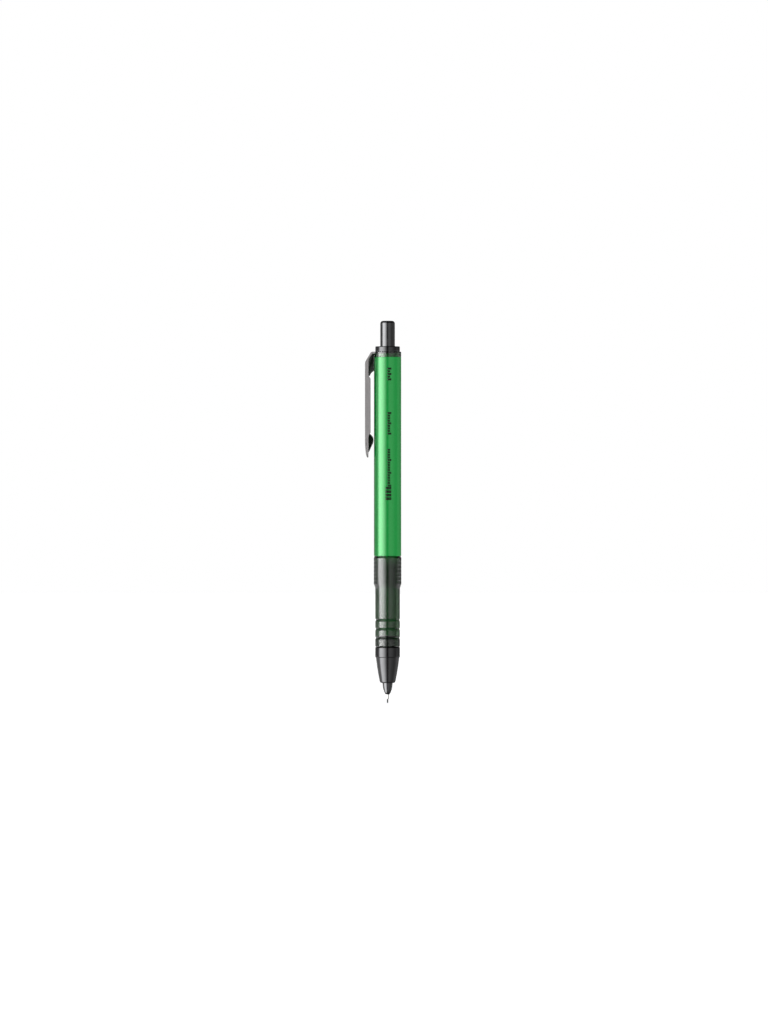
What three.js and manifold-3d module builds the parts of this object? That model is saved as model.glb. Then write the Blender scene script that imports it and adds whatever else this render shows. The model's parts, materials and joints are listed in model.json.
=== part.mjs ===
// A push-button lead holder for 0.5 mm leads, in millimetres.
// The lead's writing end is the origin, +Z runs up the axis to the push button, and the clip is on -X.
// Pressing the button slides the lead tube, connector and chuck forward in their housing. The clutch ring
// closes the chuck's three jaws on the lead, follows them until it meets the bush, and then lets them open.
// A cushion spring lets the housing give way under a hard push on the lead, and the tip slides out of the
// cone against a weak spring to cover the lead.
import * as THREE from "three";
import { mergeVertices } from "three/addons/utils/BufferGeometryUtils.js";
import Module from "manifold-3d";

const wasm = await Module();
wasm.setup();

// Driving dimensions
const LENGTH = 142; // writing point to the top of the push button
const BARREL_R = 5.05;
const GRIP_R = 4.57; // the narrow, fingered part of the front grip and the top of the nose cone
const RIB_R = 5.12; // the wide, ribbed part of the front grip
const BUTTON_R = 2.71;
const LEAD_R = 0.28; // a 0.5 mm lead measures 0.56 mm across
const FIT = 0.05; // radial or axial gap between pieces that fit together
const SLIDE = 0.08; // radial gap between pieces that slide in each other

// Levels along the axis, from the writing point up
const PIPE_END_Z = 1.45;
const TIP_FACE_Z = 3.15;
const CONE_FACE_Z = 7.4;
const TIP_SEAT_Z = 9; // the nose cone's inner shoulder, where the tip spring stands
const TIP_TOP_Z = 13.5;
const BUSH_TOP_Z = 15.85;
const CHUCK_FACE_Z = 15.4;
const CONE_TOP_Z = 17.1; // the cone meets the nose's straight band
const NOSE_TOP_Z = 20.8;
const SPIGOT_END_Z = 25; // the front end of the barrel's spigot
const NOSE_SPIGOT_TOP_Z = 28.2;
const CUSHION_SEAT_Z = 42.2; // the barrel's inner shoulder above the cushion spring
const RIB_BOTTOM_Z = 44.2;
const GRIP_TOP_Z = 54.55;
const BARREL_BOTTOM_Z = 54.6;
const HOUSING_TOP_Z = 45;
const TUBE_BOTTOM_Z = 49.5;
const BARREL_TOP_Z = 128.6;
const NECK_TOP_Z = 129.8;
const RING_TOP_Z = 130.5;
const COLLAR_TOP_Z = 132.5;
const TUBE_TOP_Z = 134.7;

// Radii that two or more pieces share
const BARREL_BORE_R = 3.9;
const MOUTH_R = 3.5; // the barrel's bore at its top, around the rear collar
const NECK_R = 4.35; // the barrel's neck, inside the clip base's ring
const SPIGOT_R = 3.6; // the barrel's spigot, inside the front grip
const SPIGOT_BORE_R = 3;
const ROOT = { r: 4.6, foot: 50.6 }; // the spigot's tapered root, seated in the front grip
const GUIDE_R = 2.5; // bore of the nose cone and of the barrel's guide, around the chuck housing
const TIP_R = 1.9;
const PIPE_R = 0.45;
const TUBE_R = 2.2;
const TUBE_BORE_R = 1.75;
const SPRING_BORE_R = 2; // the housing's chamber for the return spring
const SHANK_R = 1.15; // the chuck's shank

const SIDES = 24;
const FINE_SIDES = 12; // for leads and the guide pipe
const THROUGH = 1; // how far a cutting tool runs past what it cuts

const finishes = {
  greenAbs: { color: 0x16983a, roughness: 0.22, metalness: 0 },
  smokedPc: { color: 0x2b332e, roughness: 0.15, metalness: 0, transparent: true, opacity: 0.7 },
  blackAbs: { color: 0x151616, roughness: 0.3, metalness: 0 },
  blackNickel: { color: 0x3a3a3b, roughness: 0.25, metalness: 1 },
  darkNickel: { color: 0x5a5b5c, roughness: 0.25, metalness: 1 },
  springSteel: { color: 0x9a9697, roughness: 0.3, metalness: 1 },
  brass: { color: 0xb8954a, roughness: 0.3, metalness: 1 },
  acetal: { color: 0xd8d6cf, roughness: 0.5, metalness: 0 },
  softRubber: { color: 0x26282a, roughness: 0.8, metalness: 0 },
  eraserVinyl: { color: 0xeeeeea, roughness: 0.75, metalness: 0 },
  graphite: { color: 0x3b3c3e, roughness: 0.45, metalness: 0.2 },
};

// Geometry helpers

// A solid of revolution from [radius, z] points.
// The outline closes on itself unless it starts and ends on the axis.
function turned(outline, sides = SIDES) {
  const loop = outline[0][0] === 0 ? outline : [...outline, outline[0]];
  const twiceArea = loop.reduce((sum, [r, z], i) => {
    const [nextR, nextZ] = loop[(i + 1) % loop.length];
    return sum + r * nextZ - nextR * z;
  }, 0);
  const facingOut = twiceArea > 0 ? loop : [...loop].reverse();
  const points = facingOut.map(([r, z]) => new THREE.Vector2(r, z));
  return new THREE.LatheGeometry(points, sides).rotateX(Math.PI / 2);
}

// A plate from an [x, z] outline, width wide and centred on y = 0.
function plate(outline, width) {
  const shape = new THREE.Shape(outline.map(([x, z]) => new THREE.Vector2(x, z)));
  const slab = new THREE.ExtrudeGeometry(shape, { depth: width, bevelEnabled: false });
  return slab.rotateX(Math.PI / 2).translate(0, width / 2, 0);
}

// Points on an arc about (r, z), from one angle to another in degrees, for turned and plate outlines.
function arc(r, z, radius, from, to, steps) {
  return Array.from({ length: steps + 1 }, (_, i) => {
    const angle = THREE.MathUtils.degToRad(from + ((to - from) * i) / steps);
    return [r + radius * Math.cos(angle), z + radius * Math.sin(angle)];
  });
}

function solidOf(geometry) {
  const bare = geometry.index ? geometry.toNonIndexed() : geometry.clone();
  bare.deleteAttribute("normal");
  bare.deleteAttribute("uv");
  const merged = mergeVertices(bare, 1e-4);
  const mesh = new wasm.Mesh({
    numProp: 3,
    vertProperties: merged.attributes.position.array,
    triVerts: new Uint32Array(merged.index.array),
  });
  return new wasm.Manifold(mesh);
}

function geometryOf(solid) {
  const { vertProperties, triVerts } = solid.getMesh();
  const geometry = new THREE.BufferGeometry();
  geometry.setAttribute("position", new THREE.BufferAttribute(vertProperties, 3));
  geometry.setIndex(new THREE.BufferAttribute(triVerts, 1));
  geometry.computeVertexNormals();
  return geometry;
}

const cut = (base, ...tools) =>
  geometryOf(tools.reduce((left, tool) => left.subtract(solidOf(tool)), solidOf(base)));
const join = (...pieces) => geometryOf(pieces.map(solidOf).reduce((all, piece) => all.add(piece)));
const common = (a, b) => geometryOf(solidOf(a).intersect(solidOf(b)));

// The centre line of a compression spring whose first and last turns are wound almost closed.
class CoilLine extends THREE.Curve {
  constructor({ radius, wireR, bottom, top, turns }) {
    super();
    Object.assign(this, { radius, wireR, bottom, top, turns });
  }

  getPoint(t) {
    const closedPitch = 2.5 * this.wireR;
    const turn = t * this.turns;
    const start = this.bottom + this.wireR;
    const end = this.top - this.wireR;
    const openPitch = (end - start - 2 * closedPitch) / (this.turns - 2);
    const fromStart = Math.min(turn, 1) * closedPitch;
    const middle = Math.min(Math.max(turn - 1, 0), this.turns - 2) * openPitch;
    const atEnd = Math.max(turn - this.turns + 1, 0) * closedPitch;
    const angle = 2 * Math.PI * turn;
    return new THREE.Vector3(
      this.radius * Math.cos(angle),
      this.radius * Math.sin(angle),
      start + fromStart + middle + atEnd,
    );
  }
}

function coil(spring) {
  const wireSides = 6;
  const stepsPerTurn = 12;
  const cornerAngles = Array.from({ length: wireSides }, (_, i) => (i * 2 * Math.PI) / wireSides);
  const section = new THREE.Shape(
    cornerAngles.map((a) => new THREE.Vector2(Math.cos(a), Math.sin(a)).multiplyScalar(spring.wireR)),
  );
  return new THREE.ExtrudeGeometry(section, {
    steps: Math.round(spring.turns * stepsPerTurn),
    bevelEnabled: false,
    extrudePath: new CoilLine(spring),
  });
}

// Outer shells

function barrel() {
  const guideTop = 57;
  const boreFoot = 58.4;
  const mouthFoot = 119.5;
  const edge = 0.15;
  return turned([
    [SPIGOT_R, SPIGOT_END_Z + FIT],
    [SPIGOT_R, ROOT.foot],
    [ROOT.r, BARREL_BOTTOM_Z],
    [BARREL_R - edge, BARREL_BOTTOM_Z],
    [BARREL_R, BARREL_BOTTOM_Z + edge],
    [BARREL_R, BARREL_TOP_Z - edge],
    [BARREL_R - edge, BARREL_TOP_Z],
    [NECK_R, BARREL_TOP_Z],
    [NECK_R, NECK_TOP_Z],
    [MOUTH_R, NECK_TOP_Z],
    [MOUTH_R, mouthFoot],
    [BARREL_BORE_R, mouthFoot - 0.5],
    [BARREL_BORE_R, boreFoot],
    [GUIDE_R, guideTop],
    [GUIDE_R, CUSHION_SEAT_Z],
    [SPIGOT_BORE_R, CUSHION_SEAT_Z],
    [SPIGOT_BORE_R, SPIGOT_END_Z + FIT],
  ]);
}

function frontGrip() {
  const fingers = { count: 3, pitch: 3.35, first: NOSE_TOP_Z + 3.43, below: 0.65, above: 0.4, depth: 0.26 };
  const ribs = { count: 6, pitch: 1.45, first: RIB_BOTTOM_Z + 1.1, below: 0.3, above: 0.3, depth: 0.06 };
  const neck = { r: 4.84, height: 0.8 }; // the chamfer that makes a shadow line under the barrel
  const collarR = 3.05; // the grip's bore around the nose spigot
  const chamfer = { depth: 0.2, height: 0.32 };
  const grooves = (r, { count, pitch, first, below, above, depth }) =>
    Array.from({ length: count }, (_, i) => first + i * pitch).flatMap((z) => [
      [r, z - below],
      [r - depth, z],
      [r, z + above],
    ]);
  return turned([
    [collarR, NOSE_TOP_Z + FIT],
    [GRIP_R - chamfer.depth, NOSE_TOP_Z + FIT],
    [GRIP_R, NOSE_TOP_Z + FIT + chamfer.height],
    ...grooves(GRIP_R, fingers),
    [GRIP_R, RIB_BOTTOM_Z - 1.5],
    [RIB_R - 0.05, RIB_BOTTOM_Z - 0.15],
    [RIB_R, RIB_BOTTOM_Z],
    ...grooves(RIB_R, ribs),
    [RIB_R, GRIP_TOP_Z - neck.height],
    [neck.r, GRIP_TOP_Z],
    [ROOT.r + 0.04, GRIP_TOP_Z],
    [SPIGOT_R + FIT, ROOT.foot],
    [SPIGOT_R + FIT, SPIGOT_END_Z],
    [collarR, SPIGOT_END_Z],
  ]);
}

function noseCone() {
  const foot = { r: 3, z: 8.2, corner: 0.7 };
  const chamfer = { depth: 0.14, height: 0.4 }; // a fine groove at the parting line with the grip
  const step = 0.22; // the cone starts a little inside the band
  return turned([
    [TIP_R + SLIDE, CONE_FACE_Z],
    [foot.r - foot.corner, CONE_FACE_Z],
    [foot.r - 0.22, CONE_FACE_Z + 0.2],
    [foot.r, foot.z],
    [3.56, 11.2],
    [3.94, 13.6],
    [GRIP_R - step, CONE_TOP_Z - step],
    [GRIP_R, CONE_TOP_Z],
    [GRIP_R, NOSE_TOP_Z - chamfer.height],
    [GRIP_R - chamfer.depth, NOSE_TOP_Z],
    [SPIGOT_BORE_R - SLIDE, NOSE_TOP_Z],
    [SPIGOT_BORE_R - SLIDE, NOSE_SPIGOT_TOP_Z],
    [GUIDE_R, NOSE_SPIGOT_TOP_Z],
    [GUIDE_R, TIP_SEAT_Z],
    [TIP_R + SLIDE, TIP_SEAT_Z],
  ]);
}

function rearCollar() {
  const flangeR = 4.55;
  const tube = { r: 3.45, boreR: BUTTON_R + 0.12, bottom: 118 };
  const edge = 0.25;
  const lip = 0.3; // the bore's lead-in at the top
  return turned([
    [tube.boreR, tube.bottom],
    [tube.r, tube.bottom],
    [tube.r, RING_TOP_Z + FIT],
    [flangeR, RING_TOP_Z + FIT],
    [flangeR, COLLAR_TOP_Z - edge],
    [flangeR - edge, COLLAR_TOP_Z],
    [tube.boreR + lip, COLLAR_TOP_Z],
    [tube.boreR, COLLAR_TOP_Z - lip],
  ]);
}

// Pocket clip: a moulded base with a wedge, a folded steel strap hooked into it, and the strap's pad

const CLIP = {
  outerX: -8.4, // the strap's back
  innerX: -6.3, // the edges of its side flanges
  width: 4,
  sheet: 0.4,
  bendZ: 126.7, // the strap leaves its slope and runs straight down
  shoulderX: -6.1, // the top of the slope
  hookX: -4, // the hook's end, trapped under the collar flange
  taperZ: 95.8, // the back starts to run in towards the tip
  endX: -7.6,
  endZ: 91.2,
  padTopZ: 100.4,
  padEndZ: 93.2,
  apexZ: 97.7, // where the pad meets the barrel
  toeZ: 121.5, // the foot of the wedge
  wedgeFlangeX: -7.1, // the flanges are shallower beside the wedge and the pad
};
const HOOK_THICK = 0.4;

function clipBase() {
  const foot = BARREL_TOP_Z + FIT;
  const edge = 0.15;
  const ring = turned([
    [NECK_R + FIT, foot],
    [BARREL_R, foot],
    [BARREL_R, RING_TOP_Z - edge],
    [BARREL_R - edge, RING_TOP_Z],
    [MOUTH_R, RING_TOP_Z],
    [MOUTH_R, NECK_TOP_Z + FIT],
    [NECK_R + FIT, NECK_TOP_Z + FIT],
  ]);
  const strapGap = 0.3;
  const wedgeX = CLIP.outerX + CLIP.sheet + 0.12;
  const wedgeWidth = CLIP.width - 2 * CLIP.sheet - 2 * strapGap;
  const wedge = plate(
    [
      [-BARREL_R + 0.6, RING_TOP_Z],
      [CLIP.shoulderX + 0.75, RING_TOP_Z],
      [wedgeX, CLIP.bendZ - 0.2],
      [wedgeX, CLIP.toeZ],
      [CLIP.innerX - 0.35, CLIP.toeZ],
      [CLIP.innerX, CLIP.toeZ + 0.8],
      [-BARREL_R - 0.5, CLIP.toeZ + 1.6],
      [-BARREL_R + 0.3, CLIP.toeZ + 2],
      [-BARREL_R + 0.6, foot],
    ],
    wedgeWidth,
  );
  const barrelSpace = turned([
    [0, CLIP.toeZ - THROUGH],
    [BARREL_R + 0.1, CLIP.toeZ - THROUGH],
    [BARREL_R + 0.1, foot],
    [0, foot],
  ]);
  const slotFloor = RING_TOP_Z - HOOK_THICK - 0.3;
  const hookSlot = plate(
    [
      [CLIP.hookX + 0.2, RING_TOP_Z + THROUGH],
      [CLIP.shoulderX - THROUGH, RING_TOP_Z + THROUGH],
      [CLIP.shoulderX - THROUGH, slotFloor],
      [CLIP.hookX + 0.2, slotFloor],
    ],
    CLIP.width - 2 * CLIP.sheet + 0.4,
  );
  const clearWedge = solidOf(wedge).subtract(solidOf(barrelSpace));
  return geometryOf(solidOf(ring).add(clearWedge).subtract(solidOf(hookSlot)));
}

function clipStrap() {
  const { outerX, innerX, width, sheet, bendZ, shoulderX, hookX, taperZ, endX, endZ } = CLIP;
  const { padTopZ, padEndZ, toeZ, wedgeFlangeX } = CLIP;
  const tongueWidth = width - 2 * sheet;
  const side = [
    [shoulderX, RING_TOP_Z],
    [outerX, bendZ],
    [outerX, taperZ],
    [outerX + 0.25, padEndZ],
    [endX, endZ],
    [endX + 0.45, endZ],
    [wedgeFlangeX, endZ + 0.8],
    [wedgeFlangeX, padTopZ - 1.2],
    [innerX, padTopZ],
    [innerX, toeZ - 0.9],
    [wedgeFlangeX, toeZ + 0.1],
    [wedgeFlangeX, bendZ + 1.1],
    [shoulderX + 0.55, RING_TOP_Z - HOOK_THICK],
    [shoulderX + 0.5, RING_TOP_Z],
  ];
  const back = sheet / 0.85; // the sheet measured level on the slope
  const channel = [
    [shoulderX + back, RING_TOP_Z + 0.01],
    [outerX + sheet, bendZ - 0.15],
    [outerX + sheet, taperZ - 0.1],
    [outerX + sheet + 0.25, padEndZ],
    [endX + 0.25, endZ + sheet],
    [hookX, endZ + sheet],
    [hookX, RING_TOP_Z + 0.01],
  ];
  const endR = width / 2;
  const frontOutline = [
    ...arc(0, endZ + endR, endR, 180, 360, 8),
    [width / 2, RING_TOP_Z + THROUGH],
    [-width / 2, RING_TOP_Z + THROUGH],
  ];
  const front = plate(frontOutline, 12).rotateZ(Math.PI / 2).translate(outerX + 3, 0, 0);
  const hook = plate(
    [
      [hookX, RING_TOP_Z - HOOK_THICK],
      [hookX, RING_TOP_Z],
      [shoulderX, RING_TOP_Z],
      [shoulderX - 0.25, RING_TOP_Z - HOOK_THICK],
    ],
    tongueWidth,
  );
  const shell = cut(plate(side, width), plate(channel, tongueWidth));
  return join(common(shell, front), hook);
}

function clipPad() {
  const gap = 0.1;
  const backX = CLIP.outerX + CLIP.sheet + gap;
  const edgeX = CLIP.wedgeFlangeX + 0.15;
  const noseX = -BARREL_R - 0.1; // the rounded rib that bears on the barrel
  return plate(
    [
      [backX, CLIP.padTopZ - 0.1],
      [backX, CLIP.taperZ],
      [backX + 0.25, CLIP.padEndZ],
      [edgeX, CLIP.padEndZ],
      [noseX - 0.25, CLIP.apexZ - 1.1],
      [noseX - 0.07, CLIP.apexZ - 0.6],
      [noseX, CLIP.apexZ],
      [noseX - 0.07, CLIP.apexZ + 0.6],
      [noseX - 0.25, CLIP.apexZ + 1.1],
      [CLIP.innerX, CLIP.apexZ + 2.1],
      [edgeX, CLIP.padTopZ - 0.1],
    ],
    CLIP.width - 2 * CLIP.sheet - 0.6,
  );
}

// Tip: slides in the nose cone, and holds the guide pipe and the rubber that keeps the lead in place

const TIP_FLANGE_R = GUIDE_R - 0.12;
const TIP_FLANGE_Z = 12.3;
const RETAINER = { r: 1.2, bottom: 8.5, top: 11.5 };

function noseTip() {
  const faceR = 0.7;
  const counterbore = { r: 1.78, bottom: RETAINER.top + 0.2 };
  return turned([
    [PIPE_R + FIT, TIP_FACE_Z],
    [faceR, TIP_FACE_Z],
    [1.02, 3.55],
    [1.3, 4.2],
    [1.57, 5],
    [1.75, 5.9],
    [1.86, 6.9],
    [TIP_R, 8],
    [TIP_R, TIP_FLANGE_Z],
    [TIP_FLANGE_R, TIP_FLANGE_Z],
    [TIP_FLANGE_R, TIP_TOP_Z],
    [counterbore.r, TIP_TOP_Z],
    [counterbore.r, counterbore.bottom],
    [RETAINER.r + FIT, counterbore.bottom],
    [RETAINER.r + FIT, RETAINER.bottom - FIT],
    [PIPE_R + FIT, RETAINER.bottom - FIT],
  ]);
}

const tipSpring = () =>
  coil({
    radius: TIP_R + 0.27,
    wireR: 0.14,
    bottom: TIP_SEAT_Z + FIT,
    top: TIP_FLANGE_Z - FIT,
    turns: 4.5,
  });

const leadPipe = () =>
  turned(
    [
      [LEAD_R + 0.03, PIPE_END_Z],
      [PIPE_R - 0.06, PIPE_END_Z],
      [PIPE_R, PIPE_END_Z + 0.1],
      [PIPE_R, RETAINER.bottom - 3 * FIT],
      [LEAD_R + 0.03, RETAINER.bottom - 3 * FIT],
    ],
    FINE_SIDES,
  );

const leadRetainer = () =>
  turned([
    [LEAD_R + 0.25, RETAINER.bottom],
    [RETAINER.r, RETAINER.bottom],
    [RETAINER.r, RETAINER.top],
    [LEAD_R + 0.25, RETAINER.top],
    [LEAD_R + 0.04, RETAINER.top - 1],
    [LEAD_R + 0.04, RETAINER.bottom + 1],
  ]);

const retainingBush = () =>
  turned([
    [1.76, TIP_TOP_Z + 2 * FIT],
    [GUIDE_R - FIT, TIP_TOP_Z + 2 * FIT],
    [GUIDE_R - FIT, BUSH_TOP_Z],
    [1.76, BUSH_TOP_Z],
  ]);

// Clutch: ring, chuck, housing, connector and their springs

const RING = { bottom: 16.55, top: 18.75, r: 2.06 };
const HEAD = { r: 1.6, coneBottom: 16.3, coneTop: 18.6 };
const CHUCK_TOP_Z = 42;
const RETURN_SEAT_Z = 20;
const CONNECTOR_Z = 38.3;

const headRadius = (z) =>
  THREE.MathUtils.mapLinear(z, HEAD.coneBottom, HEAD.coneTop, HEAD.r, SHANK_R);

const clutchRing = () =>
  turned([
    [headRadius(RING.bottom) + 0.06, RING.bottom],
    [RING.r - 0.12, RING.bottom],
    [RING.r, RING.bottom + 0.12],
    [RING.r, RING.top],
    [SHANK_R + 0.07, RING.top],
    [headRadius(HEAD.coneTop) + 0.06, HEAD.coneTop],
  ]);

function chuck() {
  const jawBore = LEAD_R + 0.03;
  const rearBore = 0.5;
  const body = turned([
    [jawBore, CHUCK_FACE_Z],
    [HEAD.r - 0.35, CHUCK_FACE_Z],
    [HEAD.r, CHUCK_FACE_Z + 0.4],
    [HEAD.r, HEAD.coneBottom],
    [SHANK_R, HEAD.coneTop],
    [SHANK_R, CHUCK_TOP_Z],
    [rearBore, CHUCK_TOP_Z],
    [rearBore, 20.5],
    [jawBore, 20],
  ]);
  const slit = { width: 0.3, bottom: CHUCK_FACE_Z - THROUGH, top: 32 };
  const jaws = 3;
  const slits = Array.from({ length: jaws }, (_, i) =>
    new THREE.BoxGeometry(HEAD.r + THROUGH, slit.width, slit.top - slit.bottom)
      .translate((HEAD.r + THROUGH) / 2, 0, (slit.top + slit.bottom) / 2)
      .rotateZ(((i + 0.5) * 2 * Math.PI) / jaws),
  );
  return cut(body, ...slits);
}

function chuckHousing() {
  const outerR = GUIDE_R - SLIDE;
  const flangeR = SPIGOT_BORE_R - 0.1;
  const flange = { bottom: NOSE_SPIGOT_TOP_Z + FIT, top: NOSE_SPIGOT_TOP_Z + 1.25 };
  const neckR = SHANK_R + 0.12;
  return turned([
    [RING.r + 0.08, BUSH_TOP_Z + 0.15],
    [outerR, BUSH_TOP_Z + 0.15],
    [outerR, flange.bottom],
    [flangeR, flange.bottom],
    [flangeR, flange.top],
    [outerR, flange.top],
    [outerR, HOUSING_TOP_Z],
    [SPRING_BORE_R, HOUSING_TOP_Z],
    [SPRING_BORE_R, RETURN_SEAT_Z],
    [neckR, RETURN_SEAT_Z],
    [neckR, RING.top + FIT],
    [RING.r + 0.08, RING.top + FIT],
  ]);
}

const returnSpring = () =>
  coil({ radius: 1.62, wireR: 0.2, bottom: RETURN_SEAT_Z + FIT, top: CONNECTOR_Z - FIT, turns: 9.5 });

const cushionSpring = () =>
  coil({
    radius: 2.7,
    wireR: 0.18,
    bottom: NOSE_SPIGOT_TOP_Z + 1.3,
    top: CUSHION_SEAT_Z - FIT,
    turns: 7.5,
  });

function chuckConnector() {
  const bodyR = SPRING_BORE_R - SLIDE;
  const spigot = { r: TUBE_BORE_R - FIT, top: 56 };
  const leadBore = 0.5;
  return turned([
    [SHANK_R + FIT, CONNECTOR_Z],
    [bodyR, CONNECTOR_Z],
    [bodyR, TUBE_BOTTOM_Z - FIT],
    [spigot.r, TUBE_BOTTOM_Z - FIT],
    [spigot.r, spigot.top],
    [spigot.r - 0.2, spigot.top],
    [leadBore, spigot.top - 2.5],
    [leadBore, CHUCK_TOP_Z + FIT],
    [SHANK_R + FIT, CHUCK_TOP_Z + FIT],
  ]);
}

// Magazine: lead tube, leads, eraser and push button

const leadTube = () =>
  turned([
    [TUBE_BORE_R, TUBE_BOTTOM_Z],
    [TUBE_R, TUBE_BOTTOM_Z],
    [TUBE_R, TUBE_TOP_Z - 0.3],
    [TUBE_R - 0.15, TUBE_TOP_Z],
    [TUBE_BORE_R, TUBE_TOP_Z],
  ]);

const LEAD_LENGTH = 60;

const leadStick = (bottom) =>
  turned(
    [
      [0, bottom],
      [LEAD_R, bottom],
      [LEAD_R, bottom + LEAD_LENGTH],
      [0, bottom + LEAD_LENGTH],
    ],
    FINE_SIDES,
  );

function eraser() {
  const foot = 129.7;
  const top = 137.7;
  const edge = 0.3;
  return turned([
    [0, foot],
    [TUBE_BORE_R - FIT, foot],
    [TUBE_BORE_R - FIT, top - edge],
    [TUBE_BORE_R - FIT - edge, top],
    [0, top],
  ]);
}

function pushButton() {
  const wall = BUTTON_R - TUBE_R - FIT;
  const corner = 1.1;
  const bottom = 126.7;
  const ceiling = LENGTH - 0.8;
  const round = arc(BUTTON_R - corner, LENGTH - corner, corner, 0, 90, 4);
  return turned([
    [BUTTON_R - wall, bottom],
    [BUTTON_R, bottom],
    ...round,
    [0, LENGTH],
    [0, ceiling],
    [BUTTON_R - wall - 0.4, ceiling],
    [BUTTON_R - wall, ceiling - 0.4],
  ]);
}

// Assembly

function pieceOf(name, geometry, finish) {
  const mesh = new THREE.Mesh(geometry, new THREE.MeshStandardMaterial(finishes[finish]));
  mesh.name = name;
  return mesh;
}

const leadHolder = new THREE.Group();
leadHolder.add(
  pieceOf("barrel", barrel(), "greenAbs"),
  pieceOf("front_grip", frontGrip(), "smokedPc"),
  pieceOf("nose_cone", noseCone(), "blackNickel"),
  pieceOf("rear_collar", rearCollar(), "blackNickel"),
  pieceOf("clip_base", clipBase(), "smokedPc"),
  pieceOf("clip_strap", clipStrap(), "springSteel"),
  pieceOf("clip_pad", clipPad(), "blackAbs"),
  pieceOf("nose_tip", noseTip(), "darkNickel"),
  pieceOf("tip_spring", tipSpring(), "springSteel"),
  pieceOf("lead_pipe", leadPipe(), "springSteel"),
  pieceOf("lead_retainer", leadRetainer(), "softRubber"),
  pieceOf("retaining_bush", retainingBush(), "acetal"),
  pieceOf("clutch_ring", clutchRing(), "brass"),
  pieceOf("chuck", chuck(), "brass"),
  pieceOf("chuck_housing", chuckHousing(), "acetal"),
  pieceOf("return_spring", returnSpring(), "springSteel"),
  pieceOf("cushion_spring", cushionSpring(), "springSteel"),
  pieceOf("chuck_connector", chuckConnector(), "brass"),
  pieceOf("lead_tube", leadTube(), "blackAbs"),
  pieceOf("lead", leadStick(0), "graphite"),
  pieceOf("eraser", eraser(), "eraserVinyl"),
  pieceOf("push_button", pushButton(), "darkNickel"),
);

// Spare leads lie beside the lead in use, on the connector's funnel
const SPARE = { bottom: 56.3, radius: 1.15, angles: [35, 190, 285] };
SPARE.angles.forEach((degrees, i) => {
  const spare = pieceOf(`spare_lead_${i + 1}`, leadStick(0), "graphite");
  const angle = THREE.MathUtils.degToRad(degrees);
  spare.position.set(SPARE.radius * Math.cos(angle), SPARE.radius * Math.sin(angle), SPARE.bottom);
  leadHolder.add(spare);
});

export default leadHolder;
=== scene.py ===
import json
import math

import bmesh
import bpy
from mathutils import Matrix, Vector


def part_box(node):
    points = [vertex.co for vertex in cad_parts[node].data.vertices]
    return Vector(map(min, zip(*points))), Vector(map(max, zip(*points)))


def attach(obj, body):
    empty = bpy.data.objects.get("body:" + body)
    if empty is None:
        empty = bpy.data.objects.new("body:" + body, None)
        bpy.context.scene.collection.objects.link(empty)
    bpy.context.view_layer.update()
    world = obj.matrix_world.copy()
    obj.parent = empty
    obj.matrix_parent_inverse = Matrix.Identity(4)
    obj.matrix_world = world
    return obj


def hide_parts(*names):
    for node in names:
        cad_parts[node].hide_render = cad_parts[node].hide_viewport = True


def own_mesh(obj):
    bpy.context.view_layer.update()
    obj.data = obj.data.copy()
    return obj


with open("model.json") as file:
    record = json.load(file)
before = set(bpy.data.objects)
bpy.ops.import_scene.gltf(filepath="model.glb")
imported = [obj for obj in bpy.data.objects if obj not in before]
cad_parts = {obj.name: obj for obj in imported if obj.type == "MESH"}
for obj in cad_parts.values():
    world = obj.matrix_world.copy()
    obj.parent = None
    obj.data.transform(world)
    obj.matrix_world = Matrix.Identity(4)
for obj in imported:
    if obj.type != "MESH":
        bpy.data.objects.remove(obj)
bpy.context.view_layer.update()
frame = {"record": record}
record = frame["record"]
bodyOf = {node: body for body, nodes in record["behaviour"]["bodies"].items() for node in nodes}
mm = 0.001  # the sizes below are in millimetres


def toLinear(hexColour):
    parts = [int(hexColour[i:i + 2], 16) / 255 for i in (1, 3, 5)]
    return tuple(p / 12.92 if p <= 0.04045 else ((p + 0.055) / 1.055) ** 2.4 for p in parts) + (1.0,)


def fillIn(node, inputs):
    # sets each socket, or links it where the value is another node
    for socket, value in inputs.items():
        if isinstance(value, bpy.types.Node):
            value = next(output for output in value.outputs if output.enabled)
        if isinstance(value, bpy.types.NodeSocket):
            node.id_data.links.new(value, node.inputs[socket])
        else:
            node.inputs[socket].default_value = value


def addNode(tree, kind, inputs=None, **settings):
    node = tree.nodes.new("ShaderNode" + kind)
    for name, value in settings.items():
        setattr(node, name, value)
    fillIn(node, inputs or {})
    return node


def startMaterial(name):
    material = bpy.data.materials.new(name)
    material.use_nodes = True
    tree = material.node_tree
    place = addNode(tree, "TexCoord").outputs["Object"]
    return material, tree, tree.nodes["Principled BSDF"], place


def perMetre(millimetres):
    # the noise scale whose features are about this wide
    return 1 / (millimetres * mm)


# A noise spends most of its time between 0.3 and 0.7, so that is the range that the looks are spread over.
spread = {"From Min": 0.3, "From Max": 0.7}
mixed = {"data_type": "RGBA"}  # a Mix node's colours are its sockets 6 and 7


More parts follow.
